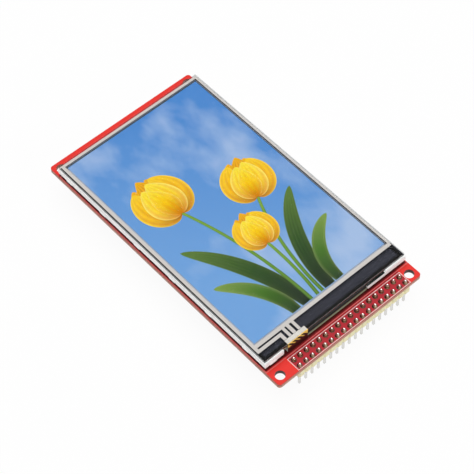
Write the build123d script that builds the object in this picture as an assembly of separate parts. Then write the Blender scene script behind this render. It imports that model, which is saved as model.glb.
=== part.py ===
from build123d import *
import math
import os

# Colour display module with a resistive touch panel, on a circuit board with a two-row pin header.
# Millimetres. The origin is the centre of the four mounting holes, on the board's back face.
# +X runs along the short side, +Y from the header's end to the far end, +Z out of the screen.

# Picture area, which sets the size of the display and of the board
active_width = 51.84
active_length = 86.4

# Moulded backlight frame
frame_side_border = 2.65
frame_near_border = 7.8
frame_far_border = 2.9
frame_height = 2.0
frame_wall = 1.0
shelf_width = 0.77
shelf_height = 0.8
tail_notch_left_inset = 7.37
tail_notch_right_inset = 8.27
tail_notch_floor = 1.22
lug_count = 6
lug_length = 2.6
lug_height = 0.6
lug_depth = 0.15
lug_near_inset = 8.7
lug_far_inset = 5.6
near_lug_inset = 3.17

# Circuit board
board_side_margin = 0.43
header_strip = 6.6
far_strip = 4.3
board_thickness = 1.6
board_corner_radius = 1.0
mask_thickness = 0.04
mounting_hole_radius = 1.6
mounting_hole_inset = 2.65
silk_line = 0.25
silk_thickness = 0.02
silk_gap = 0.86
silk_side_gap = 0.05
overcut = 1.0

# Pin header, under the near edge
pin_pitch = 2.54
pin_rows = 2
pin_side = 0.64
pin_rise = 1.2
pin_mating_length = 6.0
pin_tip_side = 0.3
pin_tip_length = 0.5
header_end_room = 6.0
header_x = 1.65
header_inset = 2.5
header_body_height = 2.54
header_cell_chamfer = 0.45
header_silk_margin = 0.1
header_silk_far_margin = 0.17
pin_hole_radius = 0.5
pin_hole_sides = 6
pad_radius = 0.82
pad_sides = 8
pad_mask_clearance = 0.05
solder_collar = 0.03
solder_rise = 0.7

# Foam strips that hold the display over the board
display_gap = 1.2
foam_width = 6.0
foam_side_inset = 1.2
foam_end_inset = 6.5

# Backlight
film_thickness = 0.1
light_guide_thickness = 0.4
film_clearance = 0.1
light_guide_near_gap = 1.3
led_count = 8
led_length = 3.0
led_depth = 1.0
led_height = 0.4
led_end_room = 6.32
strip_width = 2.6
rim_tape_thickness = 0.05
rim_tape_width = 2.4

# Display cell
glass_thickness = 0.4
glass_clearance = 0.25
polariser_thickness = 0.12
polariser_margin = 1.0
filter_ledge = 4.7
driver_length = 19.0
driver_width = 1.0
driver_height = 0.3
driver_inset = 1.7

# Tape over the driver ledge
ledge_tape_thickness = 0.05
ledge_tape_left_inset = 0.77
ledge_tape_right_inset = 0.07
ledge_tape_near_inset = 0.75
ledge_tape_width = 5.75

# Touch panel
touch_side_inset = 0.245
touch_end_inset = 0.335
touch_shift_x = -0.075
touch_shift_y = 0.085
gasket_thickness = 0.15
gasket_inset = 0.35
gasket_width = 0.9
touch_glass_thickness = 0.7
spacer_thickness = 0.05
conductor_thickness = 0.05
touch_film_thickness = 0.2
window_left_border = 1.53
window_right_border = 1.11
window_near_border = 6.2
window_far_border = 1.39
border_edge = 0.45
border_strip = 1.25
border_slot = 0.6
second_strip = 1.1
finger_clearance = 0.1
finger_left_reach = 3.85
finger_right_reach = 2.8
finger_slot_offsets = (-2.25, -0.52, 1.38)
finger_slot_widths = (0.9, 0.6, 0.85)

# Flexible tails
display_fold_radius = 0.6
touch_fold_radius = 0.1
display_tail_thickness = 0.12
display_tail_notch_gap = 0.4
display_shoulder_width = 7.3
display_tail_bond = 1.4
display_tail_inset = 0.42
display_shoulder_inset = 0.05
display_tail_return = 5.0
tails_gap = 0.2
touch_tail_width = 7.8
touch_tail_notch_gap = 1.85
touch_tail_bond = 1.5
touch_tail_gap = 0.12
touch_tail_return = 4.0
tail_conductor_count = 4
tail_conductor_width = 1.15
tail_conductor_pitch = 1.75
tail_conductor_thickness = 0.03
tail_conductor_shift = -1.2

# Memory card socket, on the back at the far end
socket_width = 27.0
socket_length = 28.0
socket_height = 2.9
socket_x = -2.0
socket_edge_gap = 0.6
socket_wall = 0.25
socket_base_thickness = 0.5
socket_rear_depth = 3.0
socket_rail = 1.2
socket_clearance = 0.05
contact_count = 9
contact_pitch = 2.5
contact_width = 0.8
contact_length = 7.0
contact_thickness = 0.2
contact_lift = 0.55
cover_slot_length = 9.0
cover_slot_width = 1.6
cover_slot_spacing = 14.0
cover_slot_rear = 8.0

# Integrated circuits and small parts on the back, placed from the board's middle and near end
chip_height = 1.0
chip_width = 4.4
chip_standoff = 0.1
chip_lead_pitch = 0.65
chip_lead_width = 0.25
chip_lead_thickness = 0.15
chip_lead_span = 1.0
chip_lead_foot = 0.55
chip_lead_level = 0.5
chip_end_margin = 0.35
chip_inset = 22.0
shifter_lead_count = 10
shifter_x = (-13.0, 5.0)
controller_lead_count = 8
controller_x = 19.0
regulator_x = -18.5
regulator_inset = 46.0
regulator_length = 6.5
regulator_width = 3.5
regulator_height = 1.6
regulator_pitch = 2.3
regulator_lead_width = 0.75
regulator_lead_thickness = 0.3
regulator_tab_width = 3.0
regulator_lead_span = 1.6
transistor_x = 19.0
transistor_inset = 48.0
transistor_length = 2.9
transistor_width = 1.3
transistor_pitch = 0.95
transistor_lead_width = 0.4
capacitor_size = (2.0, 1.25, 0.9)
capacitor_cap = 0.4
chip_capacitor_offset = 6.0
regulator_capacitor_offset = 8.0
regulator_capacitor_spacing = 6.0
resistor_size = (1.6, 0.8, 0.45)
resistor_cap = 0.3
resistor_columns = 4
resistor_rows = 2
resistor_pitch = 3.0
resistor_x = 4.0
resistor_inset = 44.0

# Outlines that follow from the sizes above
frame_width = active_width + 2 * frame_side_border
frame_length = active_length + frame_near_border + frame_far_border
board_width = frame_width + 2 * board_side_margin
board_length = header_strip + frame_length + far_strip
board_near = -board_length / 2
frame_side = frame_width / 2
frame_near = board_near + header_strip
frame_far = frame_near + frame_length
active_y = frame_near + frame_near_border + active_length / 2
ledge_near = frame_near + frame_wall + glass_clearance
filter_near = ledge_near + filter_ledge
touch_left = -frame_side + touch_side_inset + touch_shift_x
touch_right = frame_side - touch_side_inset + touch_shift_x
touch_near = frame_near + touch_end_inset + touch_shift_y
touch_far = frame_far - touch_end_inset + touch_shift_y
header_y = board_near + header_inset
pin_columns = int((board_width - 2 * header_end_room) / pin_pitch)

# Places along the near edge
tail_notch_left = -frame_side + tail_notch_left_inset
tail_notch_right = frame_side - tail_notch_right_inset
touch_tail_left = tail_notch_left + touch_tail_notch_gap
touch_tail_right = touch_tail_left + touch_tail_width
touch_tail_x = (touch_tail_left + touch_tail_right) / 2
display_tail_left = touch_tail_right + tails_gap
display_tail_right = tail_notch_right - display_tail_notch_gap
display_neck_right = display_tail_right - display_shoulder_width

# Levels
core_bottom = mask_thickness
core_top = board_thickness - mask_thickness
display_bottom = board_thickness + display_gap
display_top = display_bottom + frame_height
shelf_top = display_bottom + shelf_height
guide_bottom = display_bottom + film_thickness
guide_top = guide_bottom + light_guide_thickness
rear_polariser_bottom = shelf_top + rim_tape_thickness
array_bottom = rear_polariser_bottom + polariser_thickness
filter_bottom = array_bottom + glass_thickness
front_polariser_bottom = filter_bottom + glass_thickness
gasket_bottom = display_top + ledge_tape_thickness
touch_glass_bottom = gasket_bottom + gasket_thickness
touch_glass_top = touch_glass_bottom + touch_glass_thickness
conductor_bottom = touch_glass_top + spacer_thickness
film_bottom = conductor_bottom + conductor_thickness


def block(x_range, y_range, z_range):
    """A box between two limits on each axis."""
    sizes = [high - low for low, high in (x_range, y_range, z_range)]
    centre = [(high + low) / 2 for low, high in (x_range, y_range, z_range)]
    return Pos(*centre) * Box(*sizes)


def plate(x_range, y_range, bottom, thickness):
    """A level sheet of the given thickness."""
    return block(x_range, y_range, (bottom, bottom + thickness))


def ring_plate(x_range, y_range, wall, bottom, thickness):
    """A level rectangular ring, open in the middle."""
    inner_x = (x_range[0] + wall, x_range[1] - wall)
    inner_y = (y_range[0] + wall, y_range[1] - wall)
    cutter = plate(inner_x, inner_y, bottom - thickness, 3 * thickness)
    return plate(x_range, y_range, bottom, thickness) - cutter


def save(node, *solids):
    """Writes one node: a single piece, or several like pieces as a group of separate solids."""
    shape = solids[0] if len(solids) == 1 else Compound(children=list(solids))
    export_step(shape, f"parts/{node}.step")


def pin_places():
    """Centre of each header pin, column by column."""
    first_x = header_x - (pin_columns - 1) * pin_pitch / 2
    first_y = header_y - (pin_rows - 1) * pin_pitch / 2
    return [(first_x + column * pin_pitch, first_y + row * pin_pitch)
            for column in range(pin_columns) for row in range(pin_rows)]


def mounting_places():
    """Centre of each mounting hole."""
    x = board_width / 2 - mounting_hole_inset
    y = board_length / 2 - mounting_hole_inset
    return [(-x, -y), (x, -y), (-x, y), (x, y)]


def board_layer(bottom, thickness, pin_opening):
    """One layer of the board, with the mounting holes and one opening at each pin.

    The small openings round the pins are hidden by solder and plastic, so they are plain polygons.
    """
    outline = RectangleRounded(board_width, board_length, board_corner_radius)
    holes = [Pos(x, y) * Circle(mounting_hole_radius) for x, y in mounting_places()]
    openings = [Pos(x, y) * pin_opening for x, y in pin_places()]
    return Pos(0, 0, bottom) * extrude(outline - (holes + openings), thickness)


def make_board():
    """Glass-fibre core between two sheets of solder mask."""
    drilled = RegularPolygon(pin_hole_radius, pin_hole_sides, major_radius=False)
    pad_opening = RegularPolygon(pad_radius + pad_mask_clearance, pad_sides, major_radius=False)
    save("board_core", board_layer(core_bottom, core_top - core_bottom, drilled))
    save("solder_mask_front", board_layer(core_top, mask_thickness, pad_opening))
    save("solder_mask_back", board_layer(0, mask_thickness, drilled))


def make_silkscreen():
    """Printed lines on the front: a box round the header and the outline of the display."""
    half_length = pin_columns * pin_pitch / 2 + header_silk_margin
    near = max(header_y - pin_rows * pin_pitch / 2, board_near) + header_silk_margin
    header_box = ring_plate((header_x - half_length, header_x + half_length),
                            (near, header_y + pin_rows * pin_pitch / 2 + header_silk_far_margin),
                            silk_line, board_thickness, silk_thickness)
    outline_near = frame_near - silk_gap
    outline_side = board_width / 2 - silk_side_gap
    display_box = ring_plate((-outline_side, outline_side), (outline_near, outline_near + frame_length),
                             silk_line, board_thickness, silk_thickness)
    save("silkscreen_front", header_box, display_box)


def narrowing(section, length, inset):
    """A section carried along +Z for a length, over which its walls lean in by the inset."""
    return extrude(section, length, taper=math.degrees(math.atan(inset / length)))


def make_header():
    """Header body in one moulding of notched cells, its pins, and a solder joint on each pad."""
    cell = Rectangle(pin_pitch, pin_rows * pin_pitch)
    cell = chamfer(cell.vertices(), header_cell_chamfer)
    columns = sorted({x for x, _ in pin_places()})
    web = Rectangle((pin_columns - 1) * pin_pitch, pin_rows * pin_pitch - 2 * header_cell_chamfer)
    outline = Pos(header_x, header_y) * web + [Pos(x, header_y) * cell for x in columns]
    pin_square = Rectangle(pin_side, pin_side)
    sockets = [Pos(x, y) * pin_square for x, y in pin_places()]
    save("header_body", extrude(outline - sockets, -header_body_height))

    top = board_thickness + pin_rise - pin_tip_length
    bottom = -header_body_height - pin_mating_length + pin_tip_length
    shank = Pos(0, 0, bottom) * extrude(pin_square, top - bottom)
    point = narrowing(pin_square, pin_tip_length, (pin_side - pin_tip_side) / 2)
    pin = shank + Pos(0, 0, top) * point + Pos(0, 0, bottom) * Rot(180, 0, 0) * point
    save("header_pins", *[Pos(x, y) * pin for x, y in pin_places()])

    pad = RegularPolygon(pad_radius, pad_sides, major_radius=False)
    joint_height = mask_thickness + solder_rise
    pin_reach = pin_side / math.sqrt(2) + solder_collar
    cone = narrowing(pad, joint_height, pad_radius - pin_reach)
    joint = Pos(0, 0, core_top) * (cone - extrude(pin_square, joint_height))
    save("header_solder_joints", *[Pos(x, y) * joint for x, y in pin_places()])


def make_foam_strips():
    """Two adhesive foam strips between the board and the display."""
    outer = frame_side - foam_side_inset
    y_range = (frame_near + foam_end_inset, frame_far - foam_end_inset)
    left = plate((-outer, -outer + foam_width), y_range, board_thickness, display_gap)
    right = plate((outer - foam_width, outer), y_range, board_thickness, display_gap)
    save("foam_strips", left, right)


def frame_inside(wall):
    """X and Y limits of the frame's opening for a given side wall."""
    return ((-frame_side + wall, frame_side - wall), (frame_near + frame_wall, frame_far - frame_wall))


def make_backlight_frame():
    """White moulded frame: a step for the films, a pocket for the glass, a notch for the tails, lugs."""
    frame = plate((-frame_side, frame_side), (frame_near, frame_far), display_bottom, frame_height)
    opening_x, opening_y = frame_inside(frame_wall + shelf_width)
    pocket_x, pocket_y = frame_inside(frame_wall)
    frame -= plate(opening_x, opening_y, display_bottom - overcut, frame_height)
    frame -= plate(pocket_x, pocket_y, shelf_top, frame_height)
    near_wall = (frame_near - overcut, frame_near + frame_wall)
    frame -= block((tail_notch_left, tail_notch_right), near_wall,
                   (display_bottom + tail_notch_floor, display_top + overcut))
    frame -= block((tail_notch_left, display_neck_right + tails_gap), near_wall,
                   (display_bottom - overcut, display_top + overcut))
    lug_z = (display_bottom, display_bottom + lug_height)
    lug_pitch = (frame_length - lug_near_inset - lug_far_inset) / (lug_count - 1)
    for index in range(lug_count):
        middle = frame_near + lug_near_inset + index * lug_pitch
        lug_y = (middle - lug_length / 2, middle + lug_length / 2)
        frame += block((-frame_side - lug_depth, -frame_side), lug_y, lug_z)
        frame += block((frame_side, frame_side + lug_depth), lug_y, lug_z)
    near_lug_x = -frame_side + near_lug_inset
    near_lug = (near_lug_x - lug_length / 2, near_lug_x + lug_length / 2)
    frame += block(near_lug, (frame_near - lug_depth, frame_near), lug_z)
    save("backlight_frame", frame)


def make_backlight():
    """Reflector, light guide, diffuser and prism sheets, the lamp strip, and the rim tape."""
    open_x, open_y = frame_inside(frame_wall + shelf_width)
    film_x = (open_x[0] + film_clearance, open_x[1] - film_clearance)
    film_y = (open_y[0] + film_clearance, open_y[1] - film_clearance)
    guide_y = (open_y[0] + light_guide_near_gap, film_y[1])
    stack_y = (guide_y[0] + strip_width - light_guide_near_gap + 2 * film_clearance, film_y[1])
    save("reflector_sheet", plate(film_x, film_y, display_bottom, film_thickness))
    save("light_guide", plate(film_x, guide_y, guide_bottom, light_guide_thickness))
    save("diffuser_sheet", plate(film_x, stack_y, guide_top, film_thickness))
    save("lower_prism_sheet", plate(film_x, stack_y, guide_top + film_thickness, film_thickness))
    save("upper_prism_sheet", plate(film_x, stack_y, guide_top + 2 * film_thickness, film_thickness))

    led_y = (open_y[0] + film_clearance, open_y[0] + film_clearance + led_depth)
    led_pitch = (active_width - 2 * led_end_room) / (led_count - 1)
    leds = []
    for index in range(led_count):
        middle = (index - (led_count - 1) / 2) * led_pitch
        led_x = (middle - led_length / 2, middle + led_length / 2)
        leds.append(block(led_x, led_y, (guide_top - led_height, guide_top)))
    save("backlight_leds", *leds)
    strip_y = (open_y[0] + film_clearance, open_y[0] + film_clearance + strip_width)
    save("led_strip", plate(film_x, strip_y, guide_top, film_thickness))

    pocket_x, pocket_y = frame_inside(frame_wall)
    tape_x = (pocket_x[0] + film_clearance, pocket_x[1] - film_clearance)
    tape_y = (stack_y[0], pocket_y[1] - film_clearance)
    save("rim_tape", ring_plate(tape_x, tape_y, rim_tape_width, shelf_top, rim_tape_thickness))


def make_cell():
    """Array glass with its driver ledge, filter glass, the two polarisers and the driver chip."""
    pocket_x, pocket_y = frame_inside(frame_wall)
    glass_x = (pocket_x[0] + glass_clearance, pocket_x[1] - glass_clearance)
    glass_far = pocket_y[1] - glass_clearance
    half_width = active_width / 2 + polariser_margin
    half_length = active_length / 2 + polariser_margin
    polariser_x = (-half_width, half_width)
    polariser_y = (active_y - half_length, active_y + half_length)
    save("rear_polariser", plate(polariser_x, polariser_y, rear_polariser_bottom, polariser_thickness))
    save("array_glass", plate(glass_x, (ledge_near, glass_far), array_bottom, glass_thickness))
    save("filter_glass", plate(glass_x, (filter_near, glass_far), filter_bottom, glass_thickness))
    save("front_polariser", plate(polariser_x, polariser_y, front_polariser_bottom, polariser_thickness))
    chip_near = filter_near - driver_inset
    save("driver_chip", plate((-driver_length / 2, driver_length / 2), (chip_near, chip_near + driver_width),
                              filter_bottom, driver_height))
    tape_x = (-frame_side + ledge_tape_left_inset, frame_side - ledge_tape_right_inset)
    tape_near = frame_near + ledge_tape_near_inset
    save("ledge_tape", plate(tape_x, (tape_near, tape_near + ledge_tape_width),
                             display_top, ledge_tape_thickness))


def make_touch_panel():
    """Gasket, glass, spacer ring, beige conductor border and top film."""
    touch_x_range = (touch_left, touch_right)
    touch_y_range = (touch_near, touch_far)
    gasket_x = (touch_left + gasket_inset, touch_right - gasket_inset)
    gasket_y = (touch_near + gasket_inset, touch_far - gasket_inset)
    gasket = ring_plate(gasket_x, gasket_y, gasket_width, gasket_bottom, gasket_thickness)
    save("touch_gasket", gasket)
    save("touch_glass", plate(touch_x_range, touch_y_range, touch_glass_bottom, touch_glass_thickness))
    tail_gap = block((touch_tail_left - film_clearance, touch_tail_right + film_clearance),
                     (touch_near - overcut, touch_near + touch_tail_bond + film_clearance),
                     (touch_glass_top - overcut, film_bottom))
    spacer = ring_plate(touch_x_range, touch_y_range, border_strip, touch_glass_top, spacer_thickness)
    save("touch_spacer", spacer - tail_gap)
    save("touch_film", plate(touch_x_range, touch_y_range, film_bottom, touch_film_thickness))
    save("touch_conductors", conductor_border())


def conductor_border():
    """Printed border round the window, split by thin slots into fingers that end at the tail."""
    outer_x = (touch_left + border_edge, touch_right - border_edge)
    window_x = (touch_left + window_left_border, touch_right - window_right_border)
    window_y = (touch_near + window_near_border, touch_far - window_far_border)
    cut_z = (conductor_bottom - overcut, film_bottom + overcut)
    strip_low = window_y[0] - border_strip
    finger_left = touch_tail_x - finger_left_reach
    finger_right = touch_tail_x + finger_right_reach
    finger_low = touch_near + touch_tail_bond + finger_clearance
    second_low = strip_low - border_slot - second_strip
    ring = Rectangle(outer_x[1] - outer_x[0], touch_far - border_edge - strip_low, align=Align.MIN)
    second = Rectangle(finger_right - outer_x[0], strip_low - second_low, align=Align.MIN)
    fingers = Rectangle(finger_right - finger_left, strip_low - finger_low, align=Align.MIN)
    outline = Pos(outer_x[0], strip_low) * ring + Pos(outer_x[0], second_low) * second
    outline += Pos(finger_left, finger_low) * fingers
    border = Pos(0, 0, conductor_bottom) * extrude(outline, conductor_thickness)
    border -= block(window_x, window_y, cut_z)
    first_slot_x = touch_tail_x + finger_slot_offsets[0]
    border -= block((outer_x[0] + second_strip, first_slot_x), (strip_low - border_slot, strip_low), cut_z)
    for offset, width in zip(finger_slot_offsets, finger_slot_widths):
        slot_x = (touch_tail_x + offset - width / 2, touch_tail_x + offset + width / 2)
        border -= block(slot_x, (finger_low - overcut, strip_low), cut_z)
    return border


def fold_profile(start_y, top_z, face_y, end_y, low_z, thickness, radius):
    """Section of a folded strip: out over the frame's edge, down its face, back along the board."""
    corners = ((start_y, top_z), (face_y, top_z), (face_y, low_z), (end_y, low_z))
    return Plane.YZ * trace(FilletPolyline(*corners, radius=radius), line_width=thickness)


def folded_strip(x_range, profile):
    """A fold profile carried along X."""
    return Pos(x_range[0], 0, 0) * extrude(profile, x_range[1] - x_range[0], dir=(1, 0, 0))


def make_display_tail():
    """Flexible tail of the cell: wide at the glass, cut to a neck that folds under the display."""
    top_z = filter_bottom + display_tail_thickness / 2
    low_z = board_thickness + display_tail_thickness / 2
    bond_far = ledge_near + display_tail_bond
    profile = fold_profile(bond_far, top_z, frame_near + display_tail_inset,
                           frame_near + display_tail_return, low_z, display_tail_thickness,
                           display_fold_radius)
    neck = folded_strip((display_tail_left, display_neck_right), profile)
    shoulder = plate((display_neck_right, display_tail_right), (frame_near + display_shoulder_inset, bond_far),
                     filter_bottom, display_tail_thickness)
    save("display_tail", neck + shoulder)


def make_touch_tail():
    """Flexible tail of the touch panel, and its conductors, which cross its outer face at a slant."""
    x_range = (touch_tail_left, touch_tail_right)
    thickness = film_bottom - touch_glass_top
    top_z = touch_glass_top + thickness / 2
    low_z = board_thickness + tail_conductor_thickness + thickness / 2
    face_y = touch_near - touch_tail_gap
    end_y = frame_near + touch_tail_return
    profile = fold_profile(touch_near + touch_tail_bond, top_z, face_y,
                           end_y, low_z, thickness, touch_fold_radius)
    save("touch_tail", folded_strip(x_range, profile))

    skin = (thickness + tail_conductor_thickness) / 2
    corners = ((face_y - skin, top_z - touch_fold_radius), (face_y - skin, low_z - skin), (end_y, low_z - skin))
    skin_line = FilletPolyline(*corners, radius=touch_fold_radius + skin)
    sheet = folded_strip(x_range, Plane.YZ * trace(skin_line, line_width=tail_conductor_thickness))
    slab_size = 2 * (touch_tail_width + touch_tail_return)
    slab_thickness = tail_conductor_width / math.sqrt(3)
    first_x = touch_tail_x + tail_conductor_shift - (tail_conductor_count - 1) / 2 * tail_conductor_pitch
    conductors = []
    for index in range(tail_conductor_count):
        corner = (first_x + index * tail_conductor_pitch, face_y, top_z)
        slant = Plane(origin=corner, x_dir=(1, -1, 0), z_dir=(1, 1, 1))
        crossed = sheet & slant * Box(slab_size, slab_size, slab_thickness)
        conductors.append(max(crossed.solids(), key=lambda piece: piece.volume))
    save("touch_tail_conductors", *conductors)


def make_card_socket():
    """Memory card socket: moulded base with side rails, stamped cover, and spring contacts."""
    half = socket_width / 2
    mouth = board_length / 2 - socket_edge_gap
    rear = mouth - socket_length
    x_range = (socket_x - half, socket_x + half)
    cover = block(x_range, (rear, mouth), (-socket_height, 0))
    hollow_x = (x_range[0] + socket_wall, x_range[1] - socket_wall)
    cover -= block(hollow_x, (rear + socket_wall, mouth + overcut), (-socket_height + socket_wall, overcut))
    slot_y = (rear + cover_slot_rear, rear + cover_slot_rear + cover_slot_length)
    for side in (-1, 1):
        slot_middle = socket_x + side * cover_slot_spacing / 2
        slot_x = (slot_middle - cover_slot_width / 2, slot_middle + cover_slot_width / 2)
        cover -= block(slot_x, slot_y, (-socket_height - overcut, -socket_height + overcut))
    save("socket_cover", cover)
    inner_x = (hollow_x[0] + socket_clearance, hollow_x[1] - socket_clearance)
    inner_rear = rear + socket_wall + socket_clearance
    inner_low = -socket_height + socket_wall + socket_clearance
    base = block(inner_x, (inner_rear, mouth - socket_clearance), (-socket_base_thickness, 0))
    base += block(inner_x, (inner_rear, inner_rear + socket_rear_depth), (inner_low, 0))
    for low, high in ((inner_x[0], inner_x[0] + socket_rail), (inner_x[1] - socket_rail, inner_x[1])):
        base += block((low, high), (inner_rear, mouth - socket_clearance), (inner_low / 2, 0))
    save("socket_base", base)
    spring = Polyline((0, 0), (contact_length / 2, 0),
                      (contact_length, -contact_lift),
                      (contact_length, -contact_lift - contact_thickness),
                      (contact_length / 2, -contact_thickness),
                      (0, -contact_thickness), close=True)
    blade = extrude(Plane.YZ * make_face(spring), contact_width, dir=(1, 0, 0))
    blade = Pos(0, inner_rear + socket_rear_depth, -socket_base_thickness) * blade
    first = socket_x - (contact_count - 1) * contact_pitch / 2 - contact_width / 2
    save("socket_contacts", *[Pos(first + index * contact_pitch, 0, 0) * blade
                              for index in range(contact_count)])


def gull_lead(span, level, thickness, width):
    """One lead on the board's back, for a body on its +Y side: a foot, a riser and a shoulder."""
    foot = span * chip_lead_foot
    outline = Polyline((0, 0), (foot, 0),
                       (foot, -level + thickness), (span, -level + thickness),
                       (span, -level), (foot - thickness, -level),
                       (foot - thickness, -thickness), (0, -thickness), close=True)
    return Pos(-width / 2, 0, 0) * extrude(Plane.YZ * make_face(outline), width, dir=(1, 0, 0))


def chip_parts(x, leads_per_side):
    """Body and leads of a two-sided chip on the board's back."""
    y = board_near + chip_inset
    half_length = (leads_per_side - 1) * chip_lead_pitch / 2 + chip_end_margin + chip_lead_width
    body = block((x - half_length, x + half_length), (y - chip_width / 2, y + chip_width / 2),
                 (-chip_standoff - chip_height, -chip_standoff))
    lead = gull_lead(chip_lead_span, chip_lead_level, chip_lead_thickness, chip_lead_width)
    leads = []
    for index in range(leads_per_side):
        lead_x = x + (index - (leads_per_side - 1) / 2) * chip_lead_pitch
        reach = chip_width / 2 + chip_lead_span
        leads.append(Pos(lead_x, y - reach, 0) * lead)
        leads.append(Pos(lead_x, y + reach, 0) * Rot(0, 0, 180) * lead)
    return body, leads


def make_chips():
    """Two bus level shifters and the touch controller."""
    bodies = []
    leads = []
    for x in shifter_x:
        body, chip_leads = chip_parts(x, shifter_lead_count)
        bodies.append(body)
        leads += chip_leads
    save("level_shifters", *bodies)
    save("level_shifter_leads", *leads)
    body, leads = chip_parts(controller_x, controller_lead_count)
    save("touch_controller", body)
    save("touch_controller_leads", *leads)


def make_power_parts():
    """Voltage regulator with three leads and a tab, and backlight transistor with three leads."""
    regulator_y = board_near + regulator_inset
    body = block((regulator_x - regulator_length / 2, regulator_x + regulator_length / 2),
                 (regulator_y - regulator_width / 2, regulator_y + regulator_width / 2),
                 (-chip_standoff - regulator_height, -chip_standoff))
    save("regulator", body)
    reach = regulator_width / 2 + regulator_lead_span
    level = regulator_height / 2
    lead = gull_lead(regulator_lead_span, level, regulator_lead_thickness, regulator_lead_width)
    tab = gull_lead(regulator_lead_span, level, regulator_lead_thickness, regulator_tab_width)
    leads = [Pos(regulator_x + offset * regulator_pitch, regulator_y - reach, 0) * lead
             for offset in (-1, 0, 1)]
    leads.append(Pos(regulator_x, regulator_y + reach, 0) * Rot(0, 0, 180) * tab)
    save("regulator_leads", *leads)

    transistor_y = board_near + transistor_inset
    body = block((transistor_x - transistor_length / 2, transistor_x + transistor_length / 2),
                 (transistor_y - transistor_width / 2, transistor_y + transistor_width / 2),
                 (-chip_standoff - chip_height, -chip_standoff))
    save("backlight_transistor", body)
    lead = gull_lead(chip_lead_span, chip_lead_level, chip_lead_thickness, transistor_lead_width)
    reach = transistor_width / 2 + chip_lead_span
    leads = [Pos(transistor_x + side * transistor_pitch, transistor_y - reach, 0) * lead
             for side in (-1, 1)]
    leads.append(Pos(transistor_x, transistor_y + reach, 0) * Rot(0, 0, 180) * lead)
    save("backlight_transistor_leads", *leads)


def two_terminal(place, size, cap):
    """Body and the two end caps of a chip capacitor or resistor on the board's back."""
    x, y = place
    length, width, height = size
    low = x - length / 2
    high = x + length / 2
    y_range = (y - width / 2, y + width / 2)
    z_range = (-height, 0)
    caps = [block((low, low + cap), y_range, z_range), block((high - cap, high), y_range, z_range)]
    return block((low + cap, high - cap), y_range, z_range), caps


def make_small_parts():
    """A capacitor beside each chip, two at the regulator, and resistors in a small array."""
    chip_side = board_near + chip_inset + chip_capacitor_offset
    regulator_side = board_near + regulator_inset - regulator_capacitor_offset
    half_spacing = regulator_capacitor_spacing / 2
    places = [(x, chip_side) for x in (*shifter_x, controller_x)]
    places += [(regulator_x + offset, regulator_side) for offset in (-half_spacing, half_spacing)]
    bodies, caps = zip(*[two_terminal(place, capacitor_size, capacitor_cap) for place in places])
    save("capacitors", *bodies)
    save("capacitor_ends", *[end for pair in caps for end in pair])
    resistor_y = board_near + resistor_inset
    places = [(resistor_x + column * resistor_pitch, resistor_y + row * resistor_pitch)
              for column in range(resistor_columns) for row in range(resistor_rows)]
    bodies, caps = zip(*[two_terminal(place, resistor_size, resistor_cap) for place in places])
    save("resistors", *bodies)
    save("resistor_ends", *[end for pair in caps for end in pair])


os.makedirs("parts", exist_ok=True)
make_board()
make_silkscreen()
make_header()
make_foam_strips()
make_backlight_frame()
make_backlight()
make_cell()
make_touch_panel()
make_display_tail()
make_touch_tail()
make_card_socket()
make_chips()
make_power_parts()
make_small_parts()
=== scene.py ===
"""Looks of a colour display module with a resistive touch panel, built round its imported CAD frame.

Every CAD node gets a procedural material. Two things are added as new pieces: the lit picture under
the touch panel, and the solder joints with their hollow slopes. All lengths are metres in the frame's
own axes: +X along the short side, +Y from the pin header to the far end, +Z out of the screen.
"""
import logging
import math
from dataclasses import dataclass
from enum import Enum
from typing import Iterable, Sequence

import bpy
import numpy as np
from mathutils import Matrix, Vector


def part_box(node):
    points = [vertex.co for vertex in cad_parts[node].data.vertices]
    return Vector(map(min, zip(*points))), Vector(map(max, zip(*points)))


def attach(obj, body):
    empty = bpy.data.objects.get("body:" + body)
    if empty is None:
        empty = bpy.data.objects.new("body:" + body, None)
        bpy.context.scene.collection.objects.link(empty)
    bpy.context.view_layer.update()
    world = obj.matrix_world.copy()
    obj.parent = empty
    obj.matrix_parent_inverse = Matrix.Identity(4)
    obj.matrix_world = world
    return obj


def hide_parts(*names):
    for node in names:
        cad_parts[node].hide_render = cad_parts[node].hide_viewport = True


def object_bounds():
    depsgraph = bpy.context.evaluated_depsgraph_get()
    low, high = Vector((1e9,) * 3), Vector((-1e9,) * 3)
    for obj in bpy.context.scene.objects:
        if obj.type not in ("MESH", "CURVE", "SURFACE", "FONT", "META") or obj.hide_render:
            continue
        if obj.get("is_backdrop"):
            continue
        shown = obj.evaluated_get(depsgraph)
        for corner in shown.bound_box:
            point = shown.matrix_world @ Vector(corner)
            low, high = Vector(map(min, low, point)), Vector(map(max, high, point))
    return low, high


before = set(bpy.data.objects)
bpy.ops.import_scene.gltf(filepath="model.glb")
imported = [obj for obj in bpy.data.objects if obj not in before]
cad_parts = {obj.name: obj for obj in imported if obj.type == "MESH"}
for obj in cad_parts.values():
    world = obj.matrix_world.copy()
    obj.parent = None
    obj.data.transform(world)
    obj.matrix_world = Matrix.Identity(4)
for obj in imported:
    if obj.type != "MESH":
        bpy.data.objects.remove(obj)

MM = 0.001
ROOT = "root"
LOG = logging.getLogger("display_module")

Color = tuple[float, float, float, float]
Corner = tuple[float, float]
Socket = bpy.types.NodeSocket

FLOAT = "NodeSocketFloat"
COLOR = "NodeSocketColor"
VECTOR = "NodeSocketVector"
ORIGIN = (0.0, 0.0, 0.0)
WHITE = (1.0, 1.0, 1.0, 1.0)
BLACK = (0.0, 0.0, 0.0, 1.0)
COAT_ROUGHNESS = 0.12
BUMP_STRENGTH = 0.6


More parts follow.
